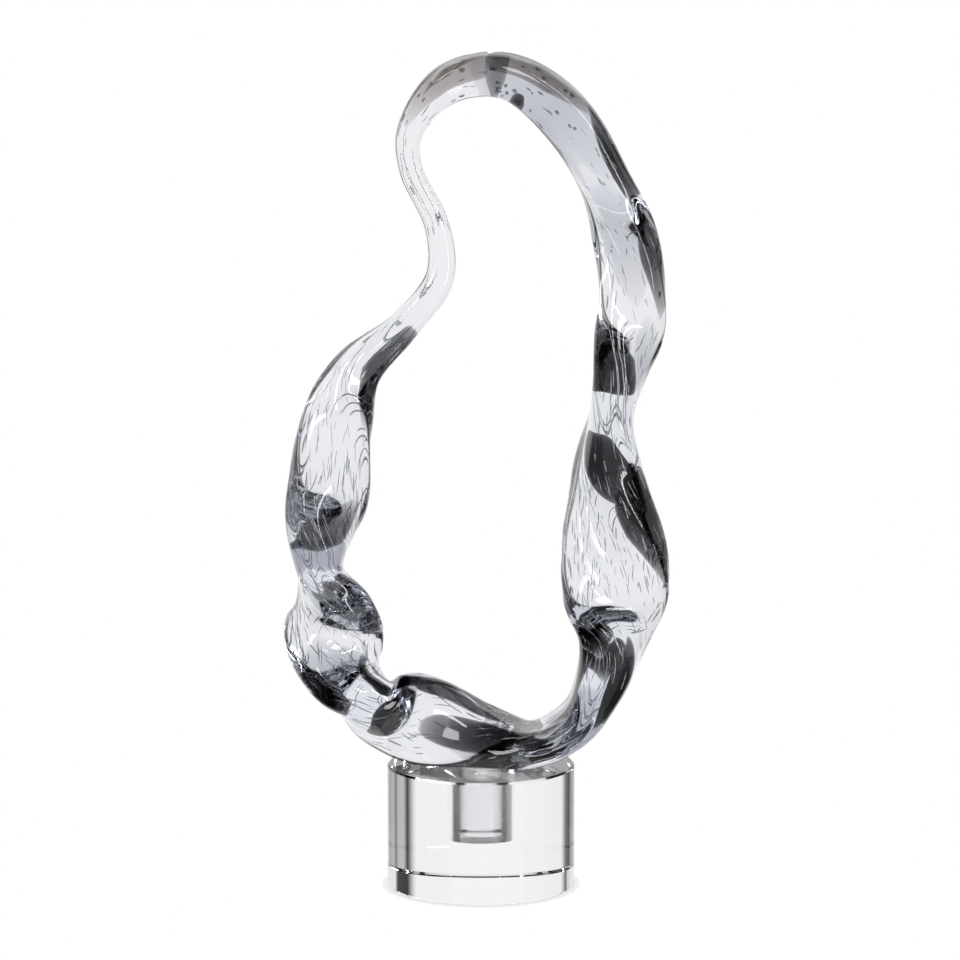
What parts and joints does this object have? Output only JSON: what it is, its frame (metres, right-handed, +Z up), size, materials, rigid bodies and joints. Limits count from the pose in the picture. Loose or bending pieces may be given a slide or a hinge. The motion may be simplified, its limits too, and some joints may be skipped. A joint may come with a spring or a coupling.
{
  "type": "glass wave sculpture",
  "caption": "Free-form closed loop of twisted clear glass that stands on a peg in a round clear crystal base.",
  "frame": {"origin": "the middle of the base's underside, at table level", "axes": "+Z up, -Y to the front of the loop as pictured, +X to its right"},
  "size_m": [0.247, 0.12, 0.5353],
  "materials": {
    "loop_glass": "fire-polished, faintly smoky, with drawn-out bubbles inside",
    "base_crystal": "polished optical crystal, socket wall finely ground",
    "peg_glass": "polished clear rod",
    "washer_soft": "soft clear ring, satin"
  },
  "bodies": {
    "base": {"crystal_base": "base_crystal"},
    "washer": {"cushion_washer": "washer_soft"},
    "sculpture": {"glass_loop": "loop_glass", "locating_peg": "peg_glass"}
  },
  "joints": [
    {"name": "loop_turn", "type": "hinge", "parent": "base", "child": "washer", "pos_m": [0, 0, 0.079], "axis": [0, 0, 1], "continuous": true},
    {"name": "loop_lift", "type": "slide", "parent": "washer", "child": "sculpture", "axis": [0, 0, 1], "range_m": [0, 0.06]}
  ]
}
